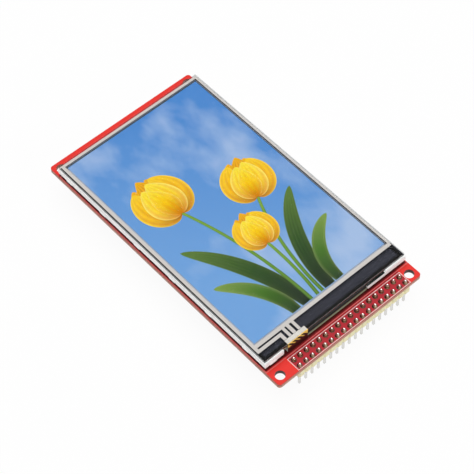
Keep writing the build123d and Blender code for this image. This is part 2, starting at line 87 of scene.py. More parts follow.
def srgb(red: int, green: int, blue: int) -> Color:
    """Scene-linear colour of a display colour, by the sRGB curve.

    Args:
        red: Red level, 0 to 255.
        green: Green level, 0 to 255.
        blue: Blue level, 0 to 255.

    Returns:
        Linear red, green, blue and an alpha of 1.
    """
    levels = np.array([red, green, blue]) / 255
    linear = np.where(levels <= 0.04045, levels / 12.92, ((levels + 0.055) / 1.055) ** 2.4)
    return (float(linear[0]), float(linear[1]), float(linear[2]), 1.0)


# Node trees


class ShaderGraph:
    """Adds and joins the nodes of one node tree."""

    def __init__(self, tree: bpy.types.NodeTree) -> None:
        """Keeps the tree at hand."""
        self.tree = tree

    def add(self, kind: str, **settings: object) -> bpy.types.Node:
        """Adds one node.

        Args:
            kind: The node's type name, such as ShaderNodeMath.
            settings: Properties to set on it.

        Returns:
            The new node.
        """
        node = self.tree.nodes.new(kind)
        for name, value in settings.items():
            setattr(node, name, value)
        return node

    def feed(self, target: Socket, source: object) -> None:
        """Joins a socket to another one, or sets it to a plain value.

        Args:
            target: The input to fill.
            source: Another node's output, or a value.
        """
        if isinstance(source, Socket):
            self.tree.links.new(source, target)
        else:
            target.default_value = source

    def math(self, operation: str, *values: object) -> Socket:
        """Adds one Math node.

        Args:
            operation: The operation's name.
            values: Numbers or sockets for its inputs.

        Returns:
            The result.
        """
        node = self.add("ShaderNodeMath", operation=operation)
        for socket, value in zip(node.inputs, values):
            self.feed(socket, value)
        return node.outputs[0]

    def clamp(self, value: object, high: float = 1.0) -> Socket:
        """The value, but no less than 0 and no more than the high end."""
        return self.math("MINIMUM", self.math("MAXIMUM", value, 0.0), high)

    def mix(self, factor: object, first: object, second: object) -> Socket:
        """Mixes two colours.

        Args:
            factor: Share of the second colour, from 0 to 1.
            first: The colour at 0.
            second: The colour at 1.

        Returns:
            The mixed colour.
        """
        node = self.add("ShaderNodeMix", data_type="RGBA")
        self.feed(node.inputs["Factor"], factor)
        colors = [socket for socket in node.inputs if socket.type == "RGBA"]
        self.feed(colors[0], first)
        self.feed(colors[1], second)
        return [socket for socket in node.outputs if socket.type == "RGBA"][0]

    def place(self) -> Socket:
        """The point's own place on the piece, in metres."""
        return self.add("ShaderNodeTexCoord").outputs["Object"]

    def axes(self, point: Socket) -> tuple[Socket, ...]:
        """Splits a point or a direction.

        Args:
            point: The vector to split.

        Returns:
            Its X, Y and Z.
        """
        node = self.add("ShaderNodeSeparateXYZ")
        self.feed(node.inputs[0], point)
        return tuple(node.outputs)

    def noise(self, point: object, scale: object, detail: float = 3.0) -> Socket:
        """Adds smooth noise.

        Args:
            point: The place that it is read at.
            scale: Patches for each metre.
            detail: How many finer layers it has.

        Returns:
            The noise, from 0 to 1.
        """
        node = self.add("ShaderNodeTexNoise")
        self.feed(node.inputs["Vector"], point)
        self.feed(node.inputs["Scale"], scale)
        self.feed(node.inputs["Detail"], detail)
        return node.outputs["Fac"]


def new_group(name: str, inputs: Sequence[tuple[str, str, object]],
              outputs: Sequence[tuple[str, str]]) -> tuple[ShaderGraph, bpy.types.Node, bpy.types.Node]:
    """Starts a shader node group with named sockets.

    Args:
        name: The group's name.
        inputs: Name, socket type and default of each input.
        outputs: Name and socket type of each output.

    Returns:
        The graph to build in, its input node and its output node.
    """
    tree = bpy.data.node_groups.new(name, "ShaderNodeTree")
    for label, kind, default in inputs:
        socket = tree.interface.new_socket(label, in_out="INPUT", socket_type=kind)
        socket.default_value = default
    for label, kind in outputs:
        tree.interface.new_socket(label, in_out="OUTPUT", socket_type=kind)
    graph = ShaderGraph(tree)
    return graph, graph.add("NodeGroupInput"), graph.add("NodeGroupOutput")


def build_surface_variation() -> bpy.types.NodeTree:
    """Group for the small unevenness of a made surface.

    Two layers of noise, one of patches and one of grain ten times finer. The colour moves between two
    tones with the patches, the roughness with both, and the height is the grain alone.

    Returns:
        The node group.
    """
    graph, entry, leave = new_group(
        "surface_variation",
        [("Position", VECTOR, ORIGIN), ("Tone", COLOR, WHITE), ("Other Tone", COLOR, WHITE),
         ("Scale", FLOAT, 400.0), ("Roughness", FLOAT, 0.4), ("Spread", FLOAT, 0.1)],
        [("Color", COLOR), ("Roughness", FLOAT), ("Height", FLOAT)])
    point, scale = entry.outputs["Position"], entry.outputs["Scale"]
    patches = graph.noise(point, scale)
    grain = graph.noise(point, graph.math("MULTIPLY", scale, 10.0), 2.0)
    graph.feed(leave.inputs["Color"], graph.mix(patches, entry.outputs["Tone"], entry.outputs["Other Tone"]))
    both = graph.math("SUBTRACT", graph.math("ADD", patches, grain), 1.0)
    shift = graph.math("MULTIPLY", both, entry.outputs["Spread"])
    graph.feed(leave.inputs["Roughness"], graph.math("ADD", entry.outputs["Roughness"], shift))
    graph.feed(leave.inputs["Height"], grain)
    return graph.tree


def build_rectangle_mask() -> bpy.types.NodeTree:
    """Group that is 1 inside a level rectangle and 0 outside it, with a soft edge.

    The distance inside is the half size less the offset from the centre, on each axis. The smaller of
    the two, over the softness and clamped to 0 and 1, is the mask.

    Returns:
        The node group.
    """
    graph, entry, leave = new_group(
        "rectangle_mask",
        [("Position", VECTOR, ORIGIN), ("Centre X", FLOAT, 0.0), ("Centre Y", FLOAT, 0.0),
         ("Half X", FLOAT, 0.01), ("Half Y", FLOAT, 0.01), ("Softness", FLOAT, 0.0001)],
        [("Mask", FLOAT)])
    x, y, _ = graph.axes(entry.outputs["Position"])
    insides = []
    for place, centre, half in ((x, "Centre X", "Half X"), (y, "Centre Y", "Half Y")):
        offset = graph.math("ABSOLUTE", graph.math("SUBTRACT", place, entry.outputs[centre]))
        insides.append(graph.math("SUBTRACT", entry.outputs[half], offset))
    ratio = graph.math("DIVIDE", graph.math("MINIMUM", *insides), entry.outputs["Softness"])
    graph.feed(leave.inputs["Mask"], graph.clamp(ratio))
    return graph.tree


def build_ply_lines() -> bpy.types.NodeTree:
    """Group for the even thin layers that a cut edge shows.

    The place across the layers, over their pitch, has a fraction from 0 to 1. Its distance from one half
    is compared with half the width ratio, so the mask is 1 on a line and 0 in a gap. An eighth of the
    pitch takes it from 0 to 1.

    Returns:
        The node group.
    """
    graph, entry, leave = new_group(
        "ply_lines", [("Across", FLOAT, 0.0), ("Pitch", FLOAT, 0.0005), ("Width Ratio", FLOAT, 0.5)],
        [("Mask", FLOAT)])
    share = graph.math("FRACT", graph.math("DIVIDE", entry.outputs["Across"], entry.outputs["Pitch"]))
    offset = graph.math("ABSOLUTE", graph.math("SUBTRACT", share, 0.5))
    inside = graph.math("SUBTRACT", graph.math("MULTIPLY", entry.outputs["Width Ratio"], 0.5), offset)
    graph.feed(leave.inputs["Mask"], graph.clamp(graph.math("MULTIPLY", inside, 8.0)))
    return graph.tree


@dataclass(frozen=True)
class Effects:
    """The node groups that the finishes share."""

    variation: bpy.types.NodeTree
    rectangle: bpy.types.NodeTree
    plies: bpy.types.NodeTree

    @staticmethod
    def build() -> "Effects":
        """Builds each group once."""
        return Effects(build_surface_variation(), build_rectangle_mask(), build_ply_lines())


def place_group(graph: ShaderGraph, tree: bpy.types.NodeTree, **values: object) -> bpy.types.Node:
    """Places a node group in a graph.

    Args:
        graph: The graph that takes it.
        tree: The group.
        values: Input values or sockets, with an underscore for each space in a name.

    Returns:
        The group's node.
    """
    node = graph.add("ShaderNodeGroup", node_tree=tree)
    for name, value in values.items():
        graph.feed(node.inputs[name.replace("_", " ")], value)
    return node


def place_rectangle(graph: ShaderGraph, effects: Effects, low: Corner, high: Corner,
                    softness: float) -> Socket:
    """Places the rectangle mask between two corners.

    Args:
        graph: The graph that takes it.
        effects: The shared node groups.
        low: The corner with the lower X and Y.
        high: The corner with the higher X and Y.
        softness: Width of the soft edge, inside the rectangle.

    Returns:
        The mask.
    """
    group = place_group(graph, effects.rectangle, Position=graph.place(), Softness=softness,
                        Centre_X=(low[0] + high[0]) / 2, Centre_Y=(low[1] + high[1]) / 2,
                        Half_X=(high[0] - low[0]) / 2, Half_Y=(high[1] - low[1]) / 2)
    return group.outputs["Mask"]


# Finishes


@dataclass(frozen=True)
class Finish:
    """An uneven solid finish: two close tones, a roughness with a spread, and a fine relief."""

    name: str
    tone: Color
    other_tone: Color
    roughness: float = 0.45
    spread: float = 0.12
    patches: float = 400.0
    relief: float = 2e-6
    metallic: float = 0.0
    coat: float = 0.0
    specular: float = 0.5
    # glow is the emission strength; on parts that are no lamps it is painted glow.
    glow: float = 0.0
    colored: tuple[str, ...] = ("Base Color",)

    def start(self) -> tuple[bpy.types.Material, ShaderGraph, bpy.types.Node]:
        """Makes an empty material with its Principled shader.

        Returns:
            The material, its graph and the shader.
        """
        material = bpy.data.materials.new(self.name)
        material.use_nodes = True
        graph = ShaderGraph(material.node_tree)
        shader = material.node_tree.nodes["Principled BSDF"]
        for name, value in (("Metallic", self.metallic), ("Coat Weight", self.coat),
                            ("Coat Roughness", COAT_ROUGHNESS), ("Specular IOR Level", self.specular),
                            ("Emission Color", self.tone), ("Emission Strength", self.glow)):
            shader.inputs[name].default_value = value
        material.diffuse_color = self.tone
        return material, graph, shader

    def vary(self, graph: ShaderGraph, shader: bpy.types.Node, effects: Effects) -> Socket:
        """Joins the unevenness to the roughness and the normal.

        Args:
            graph: The material's graph.
            shader: Its Principled shader.
            effects: The shared node groups.

        Returns:
            The varied colour.
        """
        group = place_group(graph, effects.variation, Position=graph.place(), Tone=self.tone,
                            Other_Tone=self.other_tone, Scale=self.patches, Roughness=self.roughness,
                            Spread=self.spread)
        bump = graph.add("ShaderNodeBump")
        bump.inputs["Strength"].default_value = BUMP_STRENGTH
        bump.inputs["Distance"].default_value = self.relief
        graph.feed(bump.inputs["Height"], group.outputs["Height"])
        graph.feed(shader.inputs["Normal"], bump.outputs["Normal"])
        graph.feed(shader.inputs["Roughness"], group.outputs["Roughness"])
        return group.outputs["Color"]

    def color(self, graph: ShaderGraph, ground: Socket, effects: Effects) -> Socket:
        """Colour of the surface, which a finish with zones works out from the varied one."""
        return ground

    def build(self, effects: Effects) -> bpy.types.Material:
        """Makes the material.

        Args:
            effects: The shared node groups.

        Returns:
            The material.
        """
        material, graph, shader = self.start()
        color = self.color(graph, self.vary(graph, shader, effects), effects)
        for name in self.colored:
            graph.feed(shader.inputs[name], color)
        return material


@dataclass(frozen=True)
class ClearFinish(Finish):
    """A clear film or glass that lets the light and the view through, with denser cut edges."""

    opacity: float = 0.02
    side_opacity: float = 0.7
    loss_within: float = 0.45

    def build(self, effects: Effects) -> bpy.types.Material:
        """Makes the material.

        Its alpha goes from the sides' to the faces' with the size of the normal's Z, and is nearly
        halved on a side that is seen from within.

        Args:
            effects: The shared node groups.

        Returns:
            The material.
        """
        material, graph, shader = self.start()
        graph.feed(shader.inputs["Base Color"], self.vary(graph, shader, effects))
        geometry = graph.add("ShaderNodeNewGeometry")
        level = graph.math("ABSOLUTE", graph.axes(geometry.outputs["Normal"])[2])
        drop = graph.math("MULTIPLY", level, self.opacity - self.side_opacity)
        outside = graph.math("ADD", drop, self.side_opacity)
        loss = graph.math("MULTIPLY", geometry.outputs["Backfacing"], self.loss_within)
        graph.feed(shader.inputs["Alpha"], graph.math("MULTIPLY", outside, graph.math("SUBTRACT", 1.0, loss)))
        material.surface_render_method = "BLENDED"
        return material


@dataclass(frozen=True)
class Zone:
    """A level rectangle of another colour."""

    tone: Color
    low: Corner
    high: Corner
    softness: float = 0.1 * MM


@dataclass(frozen=True)
class ZonedFinish(Finish):
    """A finish with zones of other colours, such as the board round the pin header."""

    zones: tuple[Zone, ...] = ()

    def color(self, graph: ShaderGraph, ground: Socket, effects: Effects) -> Socket:
        """Lays the zones over the varied colour, each over the ones before it.

        Args:
            graph: The material's graph.
            ground: The varied colour.
            effects: The shared node groups.

        Returns:
            The colour with its zones.
        """
        for zone in self.zones:
            mask = place_rectangle(graph, effects, zone.low, zone.high, zone.softness)
            ground = graph.mix(mask, ground, zone.tone)
        return ground


@dataclass(frozen=True)
class SteppedFinish(Finish):
    """A finish with another colour below a level and one beyond a line across the piece."""

    colored: tuple[str, ...] = ("Base Color", "Emission Color")
    under: Color = (0.02, 0.01, 0.01, 1.0)
    level: float = 0.0
    blend: float = 0.3 * MM
    beyond: Color = (0.5, 0.5, 0.5, 1.0)
    line: float = 1.0

    def color(self, graph: ShaderGraph, ground: Socket, effects: Effects) -> Socket:
        """Adds the step and the line to the varied colour.

        The share of the lower colour is the depth below the level over the blend, from 0 to 1. Beyond
        the line, on +Y, the colour changes at once.

        Args:
            graph: The material's graph.
            ground: The varied colour.
            effects: The shared node groups, not used here.

        Returns:
            The stepped colour.
        """
        _, y, z = graph.axes(graph.place())
        depth = graph.math("DIVIDE", graph.math("SUBTRACT", self.level, z), self.blend)
        stepped = graph.mix(graph.clamp(depth), ground, self.under)
        return graph.mix(graph.math("GREATER_THAN", y, self.line), stepped, self.beyond)


@dataclass(frozen=True)
class LaminateFinish(Finish):
    """Glass-fibre laminate, whose cut edge shows thin plies and takes the mask's colour near its top."""

    ply: Color = (0.3, 0.2, 0.1, 1.0)
    ply_pitch: float = 0.2 * MM
    ply_width: float = 0.35
    ply_share: float = 0.3
    stain: Color = (0.4, 0.15, 0.1, 1.0)
    stain_foot: float = 0.3 * MM
    thickness: float = 1.6 * MM
    # Painted shade on the walls of the holes in the board's near half.
    drilled_shade: Zone = Zone((0.05, 0.02, 0.015, 1.0), (-28.5 * MM, -53.5 * MM), (28.5 * MM, -0.5 * MM))

    def color(self, graph: ShaderGraph, ground: Socket, effects: Effects) -> Socket:
        """Adds the stain, the plies and the painted shade of the drilled zone to the varied colour.

        The plies are counted along Z, and a stain grows from its foot to the top. Within the drilled
        zone, inside the near half's outline, only the walls of holes show, and they get painted shade.

        Args:
            graph: The material's graph.
            ground: The varied colour.
            effects: The shared node groups.

        Returns:
            The laminate's colour.
        """
        height = graph.axes(graph.place())[2]
        rise = graph.math("DIVIDE", graph.math("SUBTRACT", height, self.stain_foot),
                          self.thickness - self.stain_foot)
        stained = graph.mix(graph.clamp(rise), ground, self.stain)
        plies = place_group(graph, effects.plies, Across=height, Pitch=self.ply_pitch,
                            Width_Ratio=self.ply_width)
        share = graph.math("MULTIPLY", plies.outputs["Mask"], self.ply_share)
        mask = place_rectangle(graph, effects, self.drilled_shade.low, self.drilled_shade.high, self.drilled_shade.softness)
        return graph.mix(mask, graph.mix(share, stained, self.ply), self.drilled_shade.tone)


@dataclass(frozen=True)
class SolderFinish(Finish):
    """Solder with brown flux round its foot, which is also painted shade on the far side."""

    flux_and_shade: Color = (0.1, 0.05, 0.02, 1.0)
    foot: float = 0.0
    flux_and_shade_height: float = 0.2 * MM
    shaded_side: Corner = (-0.55, 0.85)
    shaded_spread: float = 0.45

    def color(self, graph: ShaderGraph, ground: Socket, effects: Effects) -> Socket:
        """Lays the flux and the painted shade over the varied colour.

        The share of dark brown falls from 1 at the foot to 0 at its height. It is multiplied by how far
        the surface faces the shaded side, plus a spread, from 0 to 1, which paints the far side as in shade.

        Args:
            graph: The material's graph.
            ground: The varied colour.
            effects: The shared node groups, not used here.

        Returns:
            The colour of solder, flux and painted shade.
        """
        height = graph.axes(graph.place())[2]
        rise = graph.math("DIVIDE", graph.math("SUBTRACT", height, self.foot), self.flux_and_shade_height)
        low = graph.clamp(graph.math("SUBTRACT", 1.0, rise))
        x, y, _ = graph.axes(graph.add("ShaderNodeNewGeometry").outputs["Normal"])
        facing = graph.math("ADD", graph.math("MULTIPLY", x, self.shaded_side[0]),
                            graph.math("MULTIPLY", y, self.shaded_side[1]))
        turned_to_shade = graph.clamp(graph.math("ADD", facing, self.shaded_spread))
        return graph.mix(graph.math("MULTIPLY", turned_to_shade, low), ground, self.flux_and_shade)


@dataclass(frozen=True)
class LitPaint:
    """Colour that glows by itself, as the backlight makes the real picture glow."""

    name: str

    def color(self, graph: ShaderGraph) -> Socket:
        """Colour over the piece, which each paint works out in its own way."""
        raise NotImplementedError

    def build(self) -> bpy.types.Material:
        """Makes the material: black to outside light but for a weak gloss, and lit by its own colour.

        Returns:
            The material.
        """
        material = bpy.data.materials.new(self.name)
        material.use_nodes = True
        shader = material.node_tree.nodes["Principled BSDF"]
        for name, value in (("Emission Strength", 1.0), ("Base Color", BLACK),
                            ("Roughness", 0.4), ("Specular IOR Level", 0.1)):
            shader.inputs[name].default_value = value
        graph = ShaderGraph(material.node_tree)
        graph.feed(shader.inputs["Emission Color"], self.color(graph))
        return material


@dataclass(frozen=True)
class SkyPaint(LitPaint):
    """The lit sky of the picture: a slope of blue from corner to corner, with soft clouds."""

    name: str = "lit_sky"
    deep: Color = srgb(72, 134, 205)
    pale: Color = srgb(110, 161, 218)
    cloud: Color = srgb(170, 194, 228)
    length: float = 90 * MM
    start: float = 0.42
    patches: float = 52.0
    detail: float = 5.0
    stretch: float = 0.62
    turn: float = math.radians(35)
    least: float = 0.49
    gain: float = 3.8
    most: float = 0.85

    def color(self, graph: ShaderGraph) -> Socket:
        """Mixes the pale and the deep blue, and lays the clouds over them.

        The share of deep blue is (x + y) over the length, plus the start. The clouds are noise on turned
        and stretched places, less the least, times the gain, from 0 to the most.

        Args:
            graph: The material's graph.

        Returns:
            The sky's colour.
        """
        point = graph.place()
        x, y, _ = graph.axes(point)
        slope = graph.math("ADD", graph.math("DIVIDE", graph.math("ADD", x, y), self.length), self.start)
        ground = graph.mix(graph.clamp(slope), self.pale, self.deep)
        mapping = graph.add("ShaderNodeMapping")
        mapping.inputs["Scale"].default_value = (1.0, self.stretch, 1.0)
        mapping.inputs["Rotation"].default_value = (0.0, 0.0, self.turn)
        graph.feed(mapping.inputs["Vector"], point)
        veil = graph.noise(mapping.outputs["Vector"], self.patches, self.detail)
        share = graph.math("MULTIPLY", graph.math("SUBTRACT", veil, self.least), self.gain)
        return graph.mix(graph.clamp(share, self.most), ground, self.cloud)


@dataclass(frozen=True)
class FlowerPaint(LitPaint):
    """The lit petals, stems and leaves, whose colour lies on their points."""

    name: str = "lit_flowers"
    attribute: str = "paint"
    patches: float = 900.0
    detail: float = 4.0
    least: float = 0.35
    gain: float = 0.5
    darkening: float = 0.45

    def color(self, graph: ShaderGraph) -> Socket:
        """Lays a fine dark mottle over the points' colour.

        The share of the darkened colour is the noise less the least, times the gain, and never below 0.

        Args:
            graph: The material's graph.

        Returns:
            The mottled colour.
        """
        paint = graph.add("ShaderNodeAttribute", attribute_name=self.attribute).outputs["Color"]
        mottle = graph.noise(graph.place(), self.patches, self.detail)
        share = graph.math("MULTIPLY", graph.math("SUBTRACT", mottle, self.least), self.gain)
        darker = graph.mix(self.darkening, paint, BLACK)
        return graph.mix(graph.clamp(share), paint, darker)


def dress(dresses: Iterable[tuple[str, bpy.types.Material]]) -> None:
    """Gives each CAD node its material and reports it.

    Args:
        dresses: A node's name and its material, for each node.
    """
    for node, material in dresses:
        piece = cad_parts[node]
        piece.data.materials.clear()
        piece.data.materials.append(material)
        LOG.info("dressed %s in %s", node, material.name)


def new_piece(name: str, vertices: np.ndarray, faces: np.ndarray, material: bpy.types.Material,
              smooth: bool) -> bpy.types.Object:
    """Makes one piece from arrays, and lets it ride with the frame.

    Args:
        name: The piece's name.
        vertices: Points, one row each, in the frame's metres.
        faces: Corner numbers, four for each face.
        material: The piece's material.
        smooth: Whether its faces are shaded smoothly.

    Returns:
        The new object.
    """
    mesh = bpy.data.meshes.new(name)
    mesh.from_pydata(vertices.tolist(), [], faces.tolist())
    mesh.polygons.foreach_set("use_smooth", np.full(len(mesh.polygons), smooth))
    mesh.materials.append(material)
    mesh.update()
    piece = bpy.data.objects.new(name, mesh)
    bpy.context.scene.collection.objects.link(piece)
    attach(piece, ROOT)
    LOG.info("made %s with %d faces", name, len(mesh.polygons))
    return piece


def grid_faces(rows: int, columns: int) -> np.ndarray:
    """Four corner numbers for each cell of a grid of points, turned so that its normal is +Z.

    The cell at row i and column j has the corners i*columns+j, and its neighbours along the row, across
    it and back. Rows run along the first direction and columns across it.

    Args:
        rows: Number of points along the grid.
        columns: Number of points across it.

    Returns:
        One row of four numbers for each cell.
    """
    corner = (np.arange(rows - 1)[:, None] * columns + np.arange(columns - 1)[None, :]).ravel()
    return np.stack([corner, corner + 1, corner + columns + 1, corner + columns], axis=1)


def thin_shell(top: np.ndarray, thickness: float) -> tuple[np.ndarray, np.ndarray]:
    """Closed thin shell under a grid of points.

    The lower skin is the upper one moved down by the thickness. Both are grids, and a band of faces
    joins their rims, taken once round the grid.

    Args:
        top: Points of the upper skin, rows by columns by three, with columns running towards +X where
            rows run towards +Y.
        thickness: Distance to the lower skin.

    Returns:
        The points and the faces.
    """
    rows, columns = top.shape[:2]
    count = rows * columns
    upper = top.reshape(-1, 3)
    lower = upper - np.array([0.0, 0.0, thickness])
    skin = grid_faces(rows, columns)
    numbers = np.arange(count).reshape(rows, columns)
    rim = np.concatenate([numbers[0, :-1], numbers[:-1, -1], numbers[-1, :0:-1], numbers[:0:-1, 0]])
    ahead = np.roll(rim, -1)
    band = np.stack([rim, rim + count, ahead + count, ahead], axis=1)
    return np.vstack([upper, lower]), np.vstack([skin, skin[:, ::-1] + count, band])


# Picture on the screen


class Outline(Enum):
    """Width along a blade of the picture, from its foot to its tip."""

    PETAL = "petal"
    LEAF = "leaf"
    STEM = "stem"

    def widths(self, along: np.ndarray) -> np.ndarray:
        """Share of the full half width at each place along the blade.

        A petal swells as a sine and ends in a short point. A leaf starts at six tenths, is widest a
        third of the way up and runs out in a long point. A stem narrows by a fifth.

        Args:
            along: Places from 0 at the foot to 1 at the tip.

        Returns:
            Shares from 0 to 1.
        """
        if self is Outline.PETAL:
            return 0.16 * (1 - along) + np.sin(np.pi * np.clip(along, 0, 1) ** 0.82) ** 0.72
        if self is Outline.LEAF:
            return (0.6 + 1.35 * along) * (1 - along) ** 0.62
        return 1.0 - 0.2 * along


@dataclass(frozen=True)
class Palette:
    """Colours of a blade: at the foot, in the middle, at the tip, along the rim and in the veins."""

    foot: Color
    middle: Color
    tip: Color
    rim: Color
    vein: Color
    rim_share: float
    vein_share: float
    veins: float

    def paint(self, along: np.ndarray, across: np.ndarray) -> np.ndarray:
        """Colour of each point.

        Foot, middle and tip are mixed by straight lines along the blade. The rim colour grows with the
        fourth power of the distance from the middle line. The veins are a cosine across it, and fade to a
        third at the tip.

        Args:
            along: Places from 0 to 1.
            across: Places from -1 to 1.

        Returns:
            Four colour values for each point.
        """
        stops = np.array([self.foot, self.middle, self.tip])
        places = [0.0, 0.45, 1.0]
        base = np.stack([np.interp(along, places, levels) for levels in stops.T], axis=-1)
        rim = (np.abs(across) ** 4 * self.rim_share)[..., None]
        base = base * (1 - rim) + np.array(self.rim) * rim
        wave = 0.5 + 0.5 * np.cos(across * self.veins * np.pi)
        vein = (wave * self.vein_share * (0.35 + 0.65 * (1 - along)))[..., None]
        return base * (1 - vein) + np.array(self.vein) * vein


YELLOW_OUTER = Palette(srgb(150, 74, 6), srgb(250, 192, 8), srgb(255, 214, 30), srgb(255, 228, 70),
                       srgb(216, 122, 4), 0.60, 0.60, 5.0)
YELLOW_INNER = Palette(srgb(110, 52, 6), srgb(232, 150, 4), srgb(252, 188, 10), srgb(250, 200, 30),
                       srgb(150, 70, 2), 0.45, 0.75, 5.0)
YELLOW_FRONT = Palette(srgb(196, 108, 10), srgb(255, 214, 20), srgb(255, 236, 60), srgb(255, 242, 130),
                       srgb(236, 150, 4), 0.70, 0.60, 5.0)
GREEN_LEAF = Palette(srgb(30, 56, 18), srgb(72, 122, 28), srgb(134, 166, 76), srgb(168, 186, 112),
                     srgb(30, 60, 16), 0.45, 0.60, 7.0)
GREEN_SHADE = Palette(srgb(20, 36, 14), srgb(44, 82, 22), srgb(96, 132, 52), srgb(112, 142, 66),
                      srgb(18, 36, 12), 0.40, 0.60, 5.0)
GREEN_STEM = Palette(srgb(70, 112, 34), srgb(96, 144, 44), srgb(122, 166, 56), srgb(54, 90, 26),
                     srgb(140, 180, 72), 0.75, 0.30, 1.0)


@dataclass(frozen=True)
class Blade:
    """A flat coloured blade of the picture: a petal, a leaf or a stem.

    Its middle line starts at the foot and turns evenly from one heading to another. Headings are
    radians from +Y, positive towards +X.
    """

    foot: tuple[float, float]
    headings: tuple[float, float]
    length: float
    half_width: float
    outline: Outline
    palette: Palette
    layer: int
    rows: int = 44
    columns: int = 33
    least_width: float = 0.02 * MM

    def middle_line(self) -> tuple[np.ndarray, np.ndarray, np.ndarray]:
        """Points and headings of the middle line.

        The heading goes in a straight line from the first to the second, and the point is the sum of
        equal steps along it.

        Returns:
            The places from 0 to 1, the points and the headings.
        """
        along = np.linspace(0.0, 1.0, self.rows)
        heading = self.headings[0] + (self.headings[1] - self.headings[0]) * along
        step = self.length / (self.rows - 1)
        halfway = (heading[1:] + heading[:-1]) / 2
        moves = np.stack([np.sin(halfway), np.cos(halfway)], axis=1) * step
        points = np.array(self.foot) + np.vstack([[0.0, 0.0], np.cumsum(moves, axis=0)])
        return along, points, heading

    def surface(self, level: float, floor_y: float) -> tuple[np.ndarray, np.ndarray]:
        """Grid of points and their colours.

        Each row lies square to the middle line, from one half width to the other, and no point lies
        below the picture's near edge.

        Args:
            level: Height of the blade's upper skin.
            floor_y: The picture's near edge.

        Returns:
            The points, rows by columns by three, and the colours, rows by columns by four.
        """
        along, points, heading = self.middle_line()
        across = np.linspace(-1.0, 1.0, self.columns)
        width = np.maximum(self.half_width * self.outline.widths(along), self.least_width)
        reach = width[:, None] * across[None, :]
        x = points[:, 0, None] + reach * np.cos(heading)[:, None]
        y = np.maximum(points[:, 1, None] - reach * np.sin(heading)[:, None], floor_y)
        grid = np.stack([x, y, np.full_like(x, level)], axis=-1)
        return grid, self.palette.paint(along[:, None] + 0 * reach, across[None, :] + 0 * reach)


@dataclass(frozen=True)
class Tulip:
    """One flower of the picture: a bent stem and a cup of seven petals."""

    ground: tuple[float, float]
    base: tuple[float, float]
    height: float
    bow: float
    lean: float
    layer: int
    stem_half_width: float = 0.62 * MM

    def blades(self) -> list[Blade]:
        """Lays out the flower.

        The stem is an arc from the ground to the cup: its length is the chord times the bow over the
        bow's sine. The petals stand in three rows, back to front, each with its first and last heading
        and its share of the cup's height.

        Returns:
            The stem and the petals.
        """
        rise = np.subtract(self.base, self.ground)
        chord = float(np.hypot(*rise))
        heading = math.atan2(rise[0], rise[1])
        arc = chord * self.bow / math.sin(self.bow)
        parts = [Blade(self.ground, (heading + self.bow, heading - self.bow), arc, self.stem_half_width,
                       Outline.STEM, GREEN_STEM, self.layer)]
        rows = (
            (YELLOW_INNER, 0.24, ((0.62, -0.30, 0.96), (-0.62, 0.30, 0.96), (0.0, 0.06, 1.0))),
            (YELLOW_OUTER, 0.27, ((0.86, -0.42, 0.97), (-0.86, 0.42, 0.95))),
            (YELLOW_FRONT, 0.25, ((0.34, -0.14, 0.86), (-0.26, 0.10, 0.80))),
        )
        for row, (palette, share, petals) in enumerate(rows):
            for first, last, length in petals:
                parts.append(Blade(self.base, (self.lean + first, self.lean + last), self.height * length,
                                   self.height * share, Outline.PETAL, palette, self.layer + 1 + row))
        return parts


